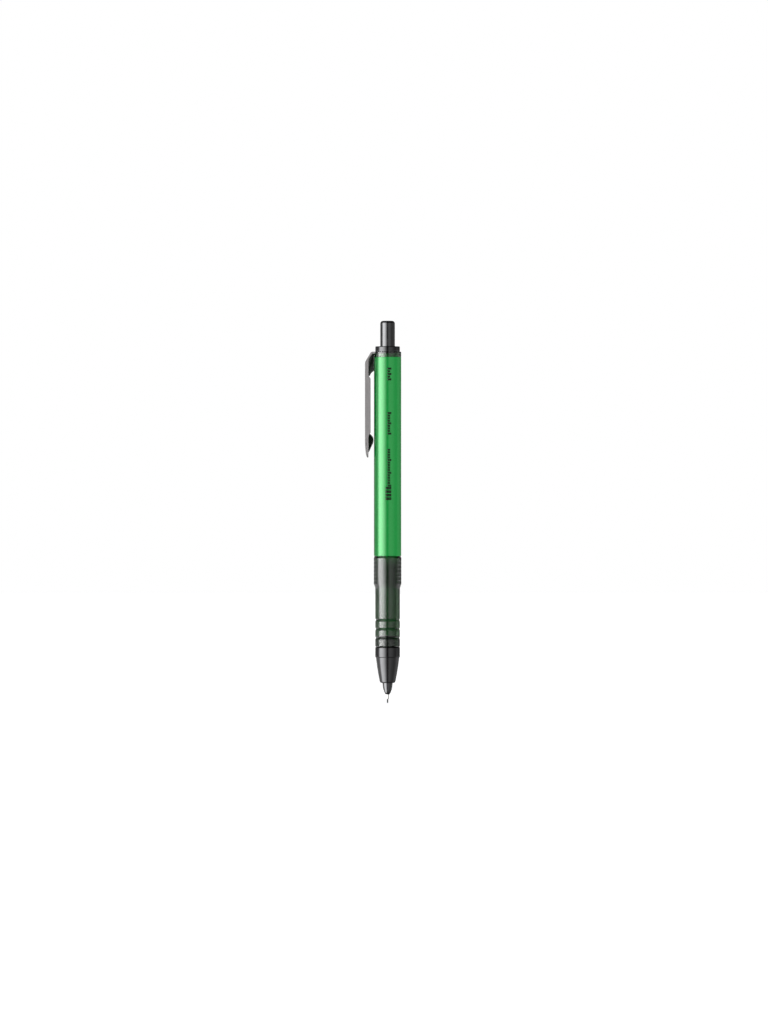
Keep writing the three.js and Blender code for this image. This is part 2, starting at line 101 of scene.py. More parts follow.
# Green metallic lacquer sprayed on moulded ABS, under clear gloss lacquer. The eye sees a deep green that lightens
# where it mirrors a lamp, a nearly white streak from the clear coat, sparkling flakes and very faint orange peel.
def greenLacquer():
    material, tree, shader, place = startMaterial("greenLacquer")
    flakes = addNode(tree, "TexVoronoi", {"Vector": place, "Scale": perMetre(0.09)}, feature="F1")
    sparkle = addNode(tree, "MapRange", {"Value": flakes.outputs["Color"], "To Min": 0.22, "To Max": 0.34})
    pigment = addNode(tree, "Mix", {0: flakes.outputs["Color"], 6: toLinear("#17943d"), 7: toLinear("#1d9e47")},
                      **mixed)
    peel = addNode(tree, "TexNoise", {"Vector": place, "Scale": perMetre(1.6), "Detail": 1.0})
    wet = addNode(tree, "Bump", {"Height": peel, "Distance": 0.003 * mm})
    fillIn(shader, {"Base Color": pigment, "Metallic": 0.27, "Roughness": sparkle, "Normal": wet,
                    "Specular IOR Level": 0.0, "Coat Weight": 1.0, "Coat Roughness": 0.04, "Coat IOR": 1.6,
                    "Coat Normal": wet})
    return material


# Smoked polycarbonate, moulded and polished: clear, with a grey-green dye in its depth, so it is darkest where the
# eye looks along the wall, under a hard clear coat. Finger smudges dull its gloss here and there.
def smokedPolycarbonate():
    material, tree, shader, place = startMaterial("smokedPolycarbonate")
    smudge = addNode(tree, "TexNoise", {"Vector": place, "Scale": perMetre(4), "Detail": 5.0})
    gloss = addNode(tree, "MapRange", {"Value": smudge, "To Min": 0.02, "To Max": 0.09, **spread})
    flow = addNode(tree, "TexNoise", {"Vector": place, "Scale": perMetre(2.5), "Detail": 1.0})
    wet = addNode(tree, "Bump", {"Height": flow, "Distance": 0.003 * mm})
    fillIn(shader, {"Base Color": toLinear("#ffffff"), "Transmission Weight": 1.0, "IOR": 1.585, "Roughness": gloss,
                    "Normal": wet, "Coat Weight": 0.8, "Coat Roughness": 0.03, "Coat Normal": wet})
    dye = addNode(tree, "VolumeAbsorption", {"Color": toLinear("#149538"), "Density": 1550.0})
    fillIn(tree.nodes["Material Output"], {"Volume": dye})
    return material


# Black nickel plate on turned brass: a near-black mirror with faint turning marks round the axis, and small
# patches rubbed a little duller by the fingers.
def blackNickel():
    material, tree, shader, place = startMaterial("blackNickel")
    patches = addNode(tree, "TexNoise", {"Vector": place, "Scale": perMetre(3), "Detail": 4.0})
    tone = addNode(tree, "Mix", {0: patches, 6: toLinear("#484849"), 7: toLinear("#555556")}, **mixed)
    gloss = addNode(tree, "MapRange", {"Value": patches, "To Min": 0.08, "To Max": 0.14, **spread})
    rings = addNode(tree, "Mapping", {"Vector": place, "Scale": (0.01, 0.01, 1)})
    turning = addNode(tree, "TexNoise", {"Vector": rings, "Scale": perMetre(0.16), "Detail": 1.0})
    fillIn(shader, {"Base Color": tone, "Metallic": 1.0, "Roughness": gloss,
                    "Normal": addNode(tree, "Bump", {"Height": turning, "Distance": 0.0006 * mm})})
    return material


# Dark nickel plate, a step lighter and softer than the cone's, because a thumb or the paper rubs it at each use.
def darkNickel():
    material, tree, shader, place = startMaterial("darkNickel")
    patches = addNode(tree, "TexNoise", {"Vector": place, "Scale": perMetre(2), "Detail": 5.0})
    tone = addNode(tree, "Mix", {0: patches, 6: toLinear("#575758"), 7: toLinear("#646465")}, **mixed)
    gloss = addNode(tree, "MapRange", {"Value": patches, "To Min": 0.13, "To Max": 0.22, **spread})
    rings = addNode(tree, "Mapping", {"Vector": place, "Scale": (0.01, 0.01, 1)})
    turning = addNode(tree, "TexNoise", {"Vector": rings, "Scale": perMetre(0.14), "Detail": 1.0})
    fillIn(shader, {"Base Color": tone, "Metallic": 1.0, "Roughness": gloss,
                    "Normal": addNode(tree, "Bump", {"Height": turning, "Distance": 0.0008 * mm})})
    return material


# Nickel-plated spring steel strip, brushed along its length: a soft grey sheen that spreads across the brushing.
def brushedNickel():
    material, tree, shader, place = startMaterial("brushedNickel")
    lengthways = addNode(tree, "Mapping", {"Vector": place, "Scale": (1, 1, 0.012)})
    brushing = addNode(tree, "TexNoise", {"Vector": lengthways, "Scale": perMetre(0.09), "Detail": 3.0})
    tone = addNode(tree, "Mix", {0: brushing, 6: toLinear("#8a8788"), 7: toLinear("#a19d9e")}, **mixed)
    gloss = addNode(tree, "MapRange", {"Value": brushing, "To Min": 0.42, "To Max": 0.54, **spread})
    fillIn(shader, {"Base Color": tone, "Metallic": 0.6, "Roughness": gloss,
                    "Normal": addNode(tree, "Bump", {"Height": brushing, "Distance": 0.003 * mm})})
    return material


# Drawn stainless tube: bright, with the die's fine lines along it.
def drawnStainless():
    material, tree, shader, place = startMaterial("drawnStainless")
    lengthways = addNode(tree, "Mapping", {"Vector": place, "Scale": (1, 1, 0.025)})
    lines = addNode(tree, "TexNoise", {"Vector": lengthways, "Scale": perMetre(0.05), "Detail": 2.0})
    tone = addNode(tree, "Mix", {0: lines, 6: toLinear("#c4c3c1"), 7: toLinear("#dcdbd9")}, **mixed)
    gloss = addNode(tree, "MapRange", {"Value": lines, "To Min": 0.16, "To Max": 0.28, **spread})
    fillIn(shader, {"Base Color": tone, "Metallic": 1.0, "Roughness": gloss})
    return material


# Cold drawn music wire: grey bright steel with a thin, uneven film of oil.
def musicWire():
    material, tree, shader, place = startMaterial("musicWire")
    oil = addNode(tree, "TexNoise", {"Vector": place, "Scale": perMetre(0.7), "Detail": 3.0})
    tone = addNode(tree, "Mix", {0: oil, 6: toLinear("#8a8783"), 7: toLinear("#a5a29d")}, **mixed)
    gloss = addNode(tree, "MapRange", {"Value": oil, "To Min": 0.18, "To Max": 0.34, **spread})
    fillIn(shader, {"Base Color": tone, "Metallic": 1.0, "Roughness": gloss})
    return material


# Free-cutting brass from an automatic lathe: yellow, with the tool's rings and a slight, cloudy tarnish.
def turnedBrass():
    material, tree, shader, place = startMaterial("turnedBrass")
    tarnish = addNode(tree, "TexNoise", {"Vector": place, "Scale": perMetre(1.8), "Detail": 4.0})
    tone = addNode(tree, "Mix", {0: tarnish, 6: toLinear("#ad8636"), 7: toLinear("#d3ad59")}, **mixed)
    rings = addNode(tree, "Mapping", {"Vector": place, "Scale": (0.01, 0.01, 1)})
    turning = addNode(tree, "TexNoise", {"Vector": rings, "Scale": perMetre(0.08), "Detail": 1.0})
    gloss = addNode(tree, "MapRange", {"Value": turning, "To Min": 0.2, "To Max": 0.36, **spread})
    fillIn(shader, {"Base Color": tone, "Metallic": 1.0, "Roughness": gloss,
                    "Normal": addNode(tree, "Bump", {"Height": turning, "Distance": 0.003 * mm})})
    return material


# Moulded acetal: waxy off-white, into which light goes a little way.
def mouldedAcetal():
    material, tree, shader, place = startMaterial("mouldedAcetal")
    flow = addNode(tree, "TexNoise", {"Vector": place, "Scale": perMetre(2), "Detail": 2.0})
    tone = addNode(tree, "Mix", {0: flow, 6: toLinear("#d6d3ca"), 7: toLinear("#e6e3db")}, **mixed)
    skin = addNode(tree, "TexNoise", {"Vector": place, "Scale": perMetre(0.3), "Detail": 3.0})
    gloss = addNode(tree, "MapRange", {"Value": skin, "To Min": 0.38, "To Max": 0.52, **spread})
    fillIn(shader, {"Base Color": tone, "IOR": 1.48, "Roughness": gloss, "Subsurface Weight": 0.2,
                    "Subsurface Scale": 0.5 * mm,
                    "Normal": addNode(tree, "Bump", {"Height": skin, "Distance": 0.003 * mm})})
    return material


# Extruded black ABS tube: satin, with the die's lines along it.
def extrudedAbs():
    material, tree, shader, place = startMaterial("extrudedAbs")
    lengthways = addNode(tree, "Mapping", {"Vector": place, "Scale": (1, 1, 0.016)})
    lines = addNode(tree, "TexNoise", {"Vector": lengthways, "Scale": perMetre(0.12), "Detail": 2.0})
    tone = addNode(tree, "Mix", {0: lines, 6: toLinear("#111212"), 7: toLinear("#1c1d1d")}, **mixed)
    gloss = addNode(tree, "MapRange", {"Value": lines, "To Min": 0.26, "To Max": 0.4, **spread})
    fillIn(shader, {"Base Color": tone, "IOR": 1.53, "Roughness": gloss,
                    "Normal": addNode(tree, "Bump", {"Height": lines, "Distance": 0.002 * mm})})
    return material


# Moulded nitrile rubber: matt black under a powdery grey bloom.
def nitrileRubber():
    material, tree, shader, place = startMaterial("nitrileRubber")
    bloom = addNode(tree, "TexNoise", {"Vector": place, "Scale": perMetre(0.25), "Detail": 5.0})
    tone = addNode(tree, "Mix", {0: bloom, 6: toLinear("#1b1d1e"), 7: toLinear("#34383a")}, **mixed)
    gloss = addNode(tree, "MapRange", {"Value": bloom, "To Min": 0.65, "To Max": 0.9, **spread})
    fillIn(shader, {"Base Color": tone, "IOR": 1.52, "Roughness": gloss})
    return material


# White vinyl eraser: matt and slightly see-through at its edges, with fine crumbs on its surface.
def eraserVinyl():
    material, tree, shader, place = startMaterial("eraserVinyl")
    crumbs = addNode(tree, "TexNoise", {"Vector": place, "Scale": perMetre(0.2), "Detail": 5.0})
    tone = addNode(tree, "Mix", {0: crumbs, 6: toLinear("#e3e2dc"), 7: toLinear("#f5f4f0")}, **mixed)
    gloss = addNode(tree, "MapRange", {"Value": crumbs, "To Min": 0.6, "To Max": 0.8, **spread})
    fillIn(shader, {"Base Color": tone, "IOR": 1.5, "Roughness": gloss, "Subsurface Weight": 0.3,
                    "Subsurface Scale": 0.8 * mm,
                    "Normal": addNode(tree, "Bump", {"Height": crumbs, "Distance": 0.02 * mm})})
    return material


# Extruded graphite in a polymer binder: dark grey with a metallic sheen and fine lines along the lead.
def bondedGraphite():
    material, tree, shader, place = startMaterial("bondedGraphite")
    lengthways = addNode(tree, "Mapping", {"Vector": place, "Scale": (1, 1, 0.04)})
    lines = addNode(tree, "TexNoise", {"Vector": lengthways, "Scale": perMetre(0.06), "Detail": 3.0})
    tone = addNode(tree, "Mix", {0: lines, 6: toLinear("#2c2d30"), 7: toLinear("#494a4d")}, **mixed)
    gloss = addNode(tree, "MapRange", {"Value": lines, "To Min": 0.38, "To Max": 0.55, **spread})
    fillIn(shader, {"Base Color": tone, "IOR": 1.6, "Metallic": 0.35, "Roughness": gloss})
    return material


# Pad-printed ink baked on the lacquer: flat dark green, duller than the coat around it and thin in places.
def printedInk():
    material, tree, shader, place = startMaterial("printedInk")
    cover = addNode(tree, "TexNoise", {"Vector": place, "Scale": perMetre(0.15), "Detail": 4.0})
    tone = addNode(tree, "Mix", {0: cover, 6: toLinear("#03220a"), 7: toLinear("#083512")}, **mixed)
    gloss = addNode(tree, "MapRange", {"Value": cover, "To Min": 0.2, "To Max": 0.35, **spread})
    fillIn(shader, {"Base Color": tone, "IOR": 1.5, "Roughness": gloss})
    return material


finishes = {
    make.__name__: make()
    for make in (
        greenLacquer, smokedPolycarbonate, blackNickel, darkNickel, brushedNickel, drawnStainless, musicWire,
        turnedBrass, mouldedAcetal, extrudedAbs, nitrileRubber, eraserVinyl, bondedGraphite, printedInk,
    )
}
print("finishes made:", len(finishes))


def span(node):
    # bottom, top and outer radius of a turned CAD piece
    low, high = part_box(node)
    return low.z / mm, high.z / mm, high.x / mm


def outlineForm(outline, closed=True, steps=3):
    # a wire in the XZ plane from (x, z) or (x, z, rounding) points, with its corners rounded
    form = bmesh.new()
    corners = [form.verts.new((point[0] * mm, 0, point[1] * mm)) for point in outline]
    for first, second in zip(corners, corners[1:]):
        form.edges.new((first, second))
    if closed:
        form.edges.new((corners[-1], corners[0]))
    for size in sorted({point[2] for point in outline if len(point) > 2}):
        chosen = [v for v, point in zip(corners, outline) if len(point) > 2 and point[2] == size]
        bmesh.ops.bevel(form, geom=chosen, offset=size * mm, offset_type="OFFSET", affect="VERTICES",
                        segments=steps, profile=0.5, material=-1, clamp_overlap=True)
    return form


def turnedForm(outline, sides=96):
    form = outlineForm(outline, closed=outline[0][0] > 0)
    bmesh.ops.spin(form, geom=form.verts[:] + form.edges[:], cent=(0, 0, 0), axis=(0, 0, 1),
                   angle=math.tau, steps=sides, use_merge=True, use_duplicate=False)
    return tidied(form)


def plateForm(outline, width, edge=0.0, steps=3):
    # a plate in the XZ plane, centred on y = 0, with its long edges rounded
    form = outlineForm(outline, steps=steps)
    bmesh.ops.contextual_create(form, geom=form.edges[:])
    made = bmesh.ops.extrude_face_region(form, geom=form.faces[:])
    moved = [part for part in made["geom"] if isinstance(part, bmesh.types.BMVert)]
    bmesh.ops.translate(form, verts=moved, vec=(0, width * mm, 0))
    bmesh.ops.translate(form, verts=form.verts[:], vec=(0, -width / 2 * mm, 0))
    tidied(form)
    if edge:
        near = 0.0001 * mm
        rims = [e for e in form.edges if abs(abs(e.verts[0].co.y) - width / 2 * mm) < near
                and abs(e.verts[0].co.y - e.verts[1].co.y) < near]
        bmesh.ops.bevel(form, geom=rims, offset=edge * mm, offset_type="OFFSET", affect="EDGES",
                        segments=3, profile=0.5, material=-1, clamp_overlap=True)
    return tidied(form)


def tidied(form):
    bmesh.ops.remove_doubles(form, verts=form.verts[:], dist=0.0004 * mm)
    bmesh.ops.recalc_face_normals(form, faces=form.faces[:])
    return form


def shade(mesh, sharpDegrees=38):
    # edges that bend by more than this stay sharp
    mesh.shade_smooth()
    mesh.set_sharp_from_angle(angle=math.radians(sharpDegrees))


def newPiece(name, form, sharpDegrees=38):
    mesh = bpy.data.meshes.new(name)
    form.to_mesh(mesh)
    form.free()
    shade(mesh, sharpDegrees)
    piece = bpy.data.objects.new(name, mesh)
    bpy.context.scene.collection.objects.link(piece)
    return piece


def standFor(piece, node, finish, weighted=True):
    if weighted:
        piece.modifiers.new("evenFaces", "WEIGHTED_NORMAL").keep_sharp = True
    piece.data.materials.clear()
    piece.data.materials.append(finishes[finish])
    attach(piece, bodyOf[node])
    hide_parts(node)
    return piece


def combine(piece, tool, operation):
    # joins or cuts a piece with another that isn't needed afterwards
    step = piece.modifiers.new("combine", "BOOLEAN")
    step.operation = operation
    step.solver = "EXACT"
    step.object = tool
    evaluated = piece.evaluated_get(bpy.context.evaluated_depsgraph_get())
    mesh = bpy.data.meshes.new_from_object(evaluated)
    piece.modifiers.clear()
    piece.data = mesh
    bpy.data.objects.remove(tool)


# Radii, then heights above the lead's point. The spigot's root widens under the shoulder that the sleeve meets.
barrel = {"spigot": 3.6, "root": 4.6, "spigotBore": 3.0, "guide": 2.5, "bore": 3.9, "mouth": 3.5, "neck": 4.35,
          "rootFoot": 50.6, "seat": 42.2, "guideTop": 57, "boreFoot": 58.4, "mouthFoot": 119.5, "mouthSlope": 0.5,
          "sleeveGap": 0.05, "neckHeight": 1.9, "edge": 0.15, "end": 0.1}


def barrelTube():
    bottom, top, radius = span("barrel")
    b = barrel
    shoulder = span("front_grip")[1] + b["sleeveGap"]
    rim = span("clip_base")[1] - b["neckHeight"]  # the clip base's ring sits on the barrel's rim, around its neck
    form = turnedForm([
        (b["spigot"], bottom, b["end"]), (b["spigot"], b["rootFoot"]), (b["root"], shoulder),
        (radius, shoulder, b["edge"]), (radius, rim, b["edge"]), (b["neck"], rim), (b["neck"], top, b["end"]),
        (b["mouth"], top, b["end"]), (b["mouth"], b["mouthFoot"]), (b["bore"], b["mouthFoot"] - b["mouthSlope"]),
        (b["bore"], b["boreFoot"]), (b["guide"], b["guideTop"]), (b["guide"], b["seat"]),
        (b["spigotBore"], b["seat"]), (b["spigotBore"], bottom, b["end"]),
    ], sides=128)
    standFor(newPiece("barrelTube", form), "barrel", "greenLacquer")


# Three finger grooves are shallow vees, steeper above than below, and the ribs are rounded.
grip = {"fingers": 3, "fingerPitch": 3.35, "fingerFirst": 3.38, "fingerFoot": 0.65, "fingerTop": 0.4,
        "fingerDepth": 0.26, "ribs": 6, "ribPitch": 1.45, "ribFirst": 1.1, "ribHalf": 0.3, "ribDepth": 0.06,
        "ribCrest": 0.12, "ribRoot": 0.06, "waist": 4.57, "chamfer": 0.2, "chamferHeight": 0.32, "waistTop": 42.7,
        "waistRounding": 0.3, "ribFoot": 44.2, "neck": 4.84, "neckHeight": 0.8, "noseBore": 3.05,
        "spigotBore": 3.65, "boreStep": 25, "seat": 4.63, "seatFoot": 50.6}


def gripSleeve():
    bottom, top, radius = span("front_grip")
    g = grip
    outline = [(g["noseBore"], bottom), (g["waist"] - g["chamfer"], bottom),
               (g["waist"], bottom + g["chamferHeight"])]
    for i in range(g["fingers"]):
        z = bottom + g["fingerFirst"] + i * g["fingerPitch"]
        outline += [(g["waist"], z - g["fingerFoot"]), (g["waist"] - g["fingerDepth"], z),
                    (g["waist"], z + g["fingerTop"])]
    outline += [(g["waist"], g["waistTop"], g["waistRounding"]), (radius, g["ribFoot"], g["ribCrest"])]
    for i in range(g["ribs"]):
        z = g["ribFoot"] + g["ribFirst"] + i * g["ribPitch"]
        outline += [(radius, z - g["ribHalf"], g["ribCrest"]), (radius - g["ribDepth"], z, g["ribRoot"]),
                    (radius, z + g["ribHalf"], g["ribCrest"])]
    outline += [(radius, top - g["neckHeight"]), (g["neck"], top), (g["seat"], top),
                (g["spigotBore"], g["seatFoot"]), (g["spigotBore"], g["boreStep"]), (g["noseBore"], g["boreStep"])]
    form = turnedForm(outline, sides=128)
    standFor(newPiece("gripSleeve", form, sharpDegrees=12), "front_grip", "smokedPolycarbonate")


# The sides swell slightly: "side" gives radius, height and rounding up to the step below the straight band.
cone = {"foot": 2.96, "footRounding": 0.8, "side": ((3.05, 8.6, 0.2), (3.56, 11.2, 2), (3.94, 13.6, 2)),
        "band": 4.57, "bandFoot": 17.1, "bandTop": 20.84, "step": 0.22, "undercut": 0.14, "undercutHeight": 0.4,
        "spigot": 2.92, "bore": 2.5, "seat": 9.0, "tipBore": 1.98}


def noseCone():
    bottom, top, _ = span("nose_cone")
    c = cone
    form = turnedForm([
        (c["tipBore"], bottom, 0.08), (c["foot"], bottom, c["footRounding"]), *c["side"],
        (c["band"] - c["step"], c["bandFoot"] - c["step"], 0.05), (c["band"], c["bandFoot"], 0.08),
        (c["band"], c["bandTop"] - c["undercutHeight"]), (c["band"] - c["undercut"], c["bandTop"]),
        (c["spigot"], c["bandTop"]), (c["spigot"], top, 0.12), (c["bore"], top), (c["bore"], c["seat"]),
        (c["tipBore"], c["seat"]),
    ], sides=128)
    standFor(newPiece("noseConeShell", form, sharpDegrees=15), "nose_cone", "blackNickel")


# "nose" gives the radius, the height above the face and the rounding of the points that the ogive goes through.
bullet = {"nose": ((1.02, 0.4, 0.15), (1.3, 1.05, 0.3), (1.57, 1.85, 0.35), (1.75, 2.75, 0.4), (1.86, 3.75, 0.4),
                   (1.9, 4.85, 0.4)),
          "bore": 0.5, "face": 0.7, "body": 1.9, "flange": 2.38, "flangeFoot": 12.3, "counterbore": 1.78,
          "counterFoot": 11.7, "rubberBore": 1.25, "rubberFoot": 8.45}


def tipBullet():
    bottom, top, _ = span("nose_tip")
    t = bullet
    form = turnedForm([
        (t["bore"], bottom), (t["face"], bottom, 0.08),
        *((radius, bottom + rise, rounding) for radius, rise, rounding in t["nose"]),
        (t["body"], t["flangeFoot"]), (t["flange"], t["flangeFoot"], 0.08), (t["flange"], top, 0.1),
        (t["counterbore"], top), (t["counterbore"], t["counterFoot"]), (t["rubberBore"], t["counterFoot"]),
        (t["rubberBore"], t["rubberFoot"]), (t["bore"], t["rubberFoot"]),
    ])
    standFor(newPiece("tipBullet", form), "nose_tip", "darkNickel")


pipe = {"bore": 0.31, "mouth": 0.08}


def guidePipe():
    bottom, top, radius = span("lead_pipe")
    form = turnedForm([(pipe["bore"], bottom), (radius, bottom, pipe["mouth"]), (radius, top),
                       (pipe["bore"], top)], sides=48)
    standFor(newPiece("guidePipe", form), "lead_pipe", "drawnStainless")


rubber = {"mouth": 0.53, "bore": 0.32, "funnel": 1.0, "edge": 0.12}


def retainerRubber():
    bottom, top, radius = span("lead_retainer")
    mouth, bore, funnel, edge = rubber["mouth"], rubber["bore"], rubber["funnel"], rubber["edge"]
    form = turnedForm([(mouth, bottom, 0.08), (radius, bottom, edge), (radius, top, edge), (mouth, top, 0.08),
                       (bore, top - funnel, 0.1), (bore, bottom + funnel, 0.1)], sides=64)
    standFor(newPiece("retainerRubber", form), "lead_retainer", "nitrileRubber")


bush = {"bore": 1.76, "lead": 0.1, "edge": 0.15}


def tipBush():
    bottom, top, radius = span("retaining_bush")
    form = turnedForm([(bush["bore"], bottom, bush["lead"]), (radius, bottom, bush["edge"]),
                       (radius, top, bush["edge"]), (bush["bore"], top, bush["lead"])], sides=64)
    standFor(newPiece("tipBush", form), "retaining_bush", "mouldedAcetal")


# The chuck's head tapers between two heights, and the ring's bore follows the taper with a little play.
clutch = {"headBottom": 16.3, "headTop": 18.6, "head": 1.6, "shank": 1.15, "jawBore": 0.31, "jawTop": 20.0,
          "rearBore": 0.5, "rearFoot": 20.5, "slit": 0.3, "slitTop": 32.0, "jaws": 3, "play": 0.06}


def headRadius(z):
    share = (z - clutch["headBottom"]) / (clutch["headTop"] - clutch["headBottom"])
    return clutch["head"] + share * (clutch["shank"] - clutch["head"])


def clutchRing():
    bottom, top, radius = span("clutch_ring")
    play = clutch["play"]
    form = turnedForm([(headRadius(bottom) + play, bottom), (radius, bottom, 0.12), (radius, top, 0.06),
                       (clutch["shank"] + play + 0.01, top), (clutch["shank"] + play, clutch["headTop"])], sides=64)
    standFor(newPiece("clutchRing", form), "clutch_ring", "turnedBrass")


def chuckJaws():
    bottom, top, _ = span("chuck")
    c = clutch
    form = turnedForm([
        (c["jawBore"], bottom), (c["head"], bottom, 0.35), (c["head"], c["headBottom"], 0.1),
        (c["shank"], c["headTop"], 0.1), (c["shank"], top, 0.08), (c["rearBore"], top),
        (c["rearBore"], c["rearFoot"]), (c["jawBore"], c["jawTop"]),
    ], sides=60)
    piece = newPiece("chuckJaws", form)
    for i in range(c["jaws"]):
        slit = bmesh.new()
        bmesh.ops.create_cube(slit, size=1)
        reach, height = c["head"] + 1, c["slitTop"] - bottom + 1
        bmesh.ops.scale(slit, verts=slit.verts[:], vec=(reach * mm, c["slit"] * mm, height * mm))
        bmesh.ops.translate(slit, verts=slit.verts[:],
                            vec=(reach / 2 * mm, 0, (c["slitTop"] - height / 2) * mm))
        turn = Matrix.Rotation((i + 0.5) * math.tau / c["jaws"], 3, "Z")
        bmesh.ops.rotate(slit, verts=slit.verts[:], cent=(0, 0, 0), matrix=turn)
        combine(piece, newPiece("slit", slit), "DIFFERENCE")
    shade(piece.data)
    standFor(piece, "chuck", "turnedBrass")


housing = {"outer": 2.42, "ringBore": 2.14, "ringRoof": 18.8, "neck": 1.27, "chamber": 2.0, "seat": 20.0,
           "flangeFoot": 28.25, "flangeTop": 29.45, "edge": 0.08}


def chuckHousing():
    bottom, top, flange = span("chuck_housing")
    h = housing
    form = turnedForm([
        (h["ringBore"], bottom), (h["outer"], bottom, h["edge"]), (h["outer"], h["flangeFoot"]),
        (flange, h["flangeFoot"], h["edge"]), (flange, h["flangeTop"], h["edge"]), (h["outer"], h["flangeTop"]),
        (h["outer"], top, 0.12), (h["chamber"], top), (h["chamber"], h["seat"]), (h["neck"], h["seat"]),
        (h["neck"], h["ringRoof"]), (h["ringBore"], h["ringRoof"]),
    ])
    standFor(newPiece("chuckSleeve", form), "chuck_housing", "mouldedAcetal")


# The chuck's rear end is held in the socket, and a funnel lets one spare lead at a time into the bore.
link = {"socket": 1.2, "bore": 0.5, "spigot": 1.7, "tubeFoot": 49.45, "funnelWall": 0.2, "funnel": 2.5,
        "play": 0.05}


def connector():
    bottom, top, radius = span("chuck_connector")
    k = link
    chuckTop = span("chuck")[1] + k["play"]
    form = turnedForm([
        (k["socket"], bottom), (radius, bottom, 0.12), (radius, k["tubeFoot"], 0.08), (k["spigot"], k["tubeFoot"]),
        (k["spigot"], top, 0.06), (k["spigot"] - k["funnelWall"], top), (k["bore"], top - k["funnel"]),
        (k["bore"], chuckTop), (k["socket"], chuckTop),
    ], sides=64)
    standFor(newPiece("connectorBush", form), "chuck_connector", "turnedBrass")


tube = {"bore": 1.75, "foot": 0.08, "outerRim": 0.14, "innerRim": 0.1}


def magazine():
    bottom, top, radius = span("lead_tube")
    form = turnedForm([(tube["bore"], bottom, tube["foot"]), (radius, bottom, tube["foot"]),
                       (radius, top, tube["outerRim"]), (tube["bore"], top, tube["innerRim"])], sides=80)
    standFor(newPiece("magazineTube", form), "lead_tube", "extrudedAbs")


stick = {"edge": 0.05}


def leadStick(node, name):
    low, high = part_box(node)
    centre, bottom, top = (low + high) / 2, low.z / mm, high.z / mm
    radius = (high.x - low.x) / 2 / mm
    form = turnedForm([(0, bottom), (radius, bottom, stick["edge"]), (radius, top, stick["edge"]), (0, top)],
                      sides=32)
    bmesh.ops.translate(form, verts=form.verts[:], vec=(centre.x, centre.y, 0))
    standFor(newPiece(name, form), node, "bondedGraphite")


eraser = {"foot": 0.12, "crown": 0.35}


def eraserPlug():
    bottom, top, radius = span("eraser")
    form = turnedForm([(0, bottom), (radius, bottom, eraser["foot"]), (radius, top, eraser["crown"]), (0, top)],
                      sides=64)
    standFor(newPiece("eraserPlug", form), "eraser", "eraserVinyl")


collar = {"bore": 2.83, "shank": 3.45, "flangeEdge": 0.28, "boreEdge": 0.3, "seatGap": 0.01}


def collarBush():
    bottom, top, flange = span("rear_collar")
    k = collar
    seat = span("clip_base")[1] + k["seatGap"]
    form = turnedForm([(k["bore"], bottom), (k["shank"], bottom, 0.1), (k["shank"], seat), (flange, seat, 0.02),
                       (flange, top, k["flangeEdge"]), (k["bore"], top, k["boreEdge"])], sides=128)
    standFor(newPiece("collarBush", form), "rear_collar", "blackNickel")


button = {"bore": 2.25, "roof": 0.8, "crown": 0.95, "rim": 0.1, "inside": 0.4}


def buttonCap():
    bottom, top, radius = span("push_button")
    bore, roof = button["bore"], top - button["roof"]
    form = turnedForm([(0, top), (radius, top, button["crown"]), (radius, bottom, button["rim"]),
                       (bore, bottom, button["rim"]), (bore, roof, button["inside"]), (0, roof)], sides=128)
    standFor(newPiece("buttonCap", form), "push_button", "darkNickel")


springs = {
    "tip_spring": {"name": "tipSpringCoil", "radius": 2.17, "wire": 0.14, "turns": 4.5, "joint": "tip_guard"},
    "return_spring": {"name": "returnSpringCoil", "radius": 1.62, "wire": 0.2, "turns": 9.5,
                      "joint": "button_press"},
    "cushion_spring": {"name": "cushionSpringCoil", "radius": 2.7, "wire": 0.18, "turns": 7.5,
                       "joint": "cushion_slide"},
}


def springCoil(node):
    s = springs[node]
    low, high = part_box(node)
    steps, closed = 28, 2.5 * s["wire"]  # the end turns nearly lie on the next ones
    length = (high.z - low.z) / mm - 2 * s["wire"]
    form = bmesh.new()
    bmesh.ops.create_circle(form, cap_ends=False, segments=12, radius=s["wire"] * mm)
    bmesh.ops.rotate(form, verts=form.verts[:], cent=(0, 0, 0), matrix=Matrix.Rotation(math.pi / 2, 3, "X"))
    bmesh.ops.translate(form, verts=form.verts[:], vec=(s["radius"] * mm, 0, low.z + s["wire"] * mm))
    section = form.verts[:] + form.edges[:]
    for turns, rise in ((1, closed), (s["turns"] - 2, length - 2 * closed), (1, closed)):
        count = round(turns * steps)
        made = bmesh.ops.spin(form, geom=section, cent=(0, 0, 0), axis=(0, 0, 1), angle=turns * math.tau,
                              dvec=(0, 0, rise / count * mm), steps=count, use_duplicate=False)
        section = made["geom_last"]
    bmesh.ops.holes_fill(form, edges=[e for e in form.edges if e.is_boundary], sides=0)
    piece = standFor(newPiece(s["name"], tidied(form)), node, "musicWire", weighted=False)
    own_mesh(piece)


# The clip base is a ring round the barrel's neck and a wedge beside it, with a slot for the strap's hook. The
# hidden overlap with the ring makes them one.
wedge = {"width": 2.6, "edge": 0.12, "backX": -7.88, "innerX": -6.3, "shoulderX": -5.35, "toeZ": 121.5,
         "bendZ": 126.5, "overlap": 0.6, "slotWidth": 3.6, "slotFromX": -7.2, "slotToX": -3.8, "slotDepth": 0.57,
         "lipFoot": 129.85, "bore": 3.5, "neckBore": 4.4, "ringFoot": 1.19}


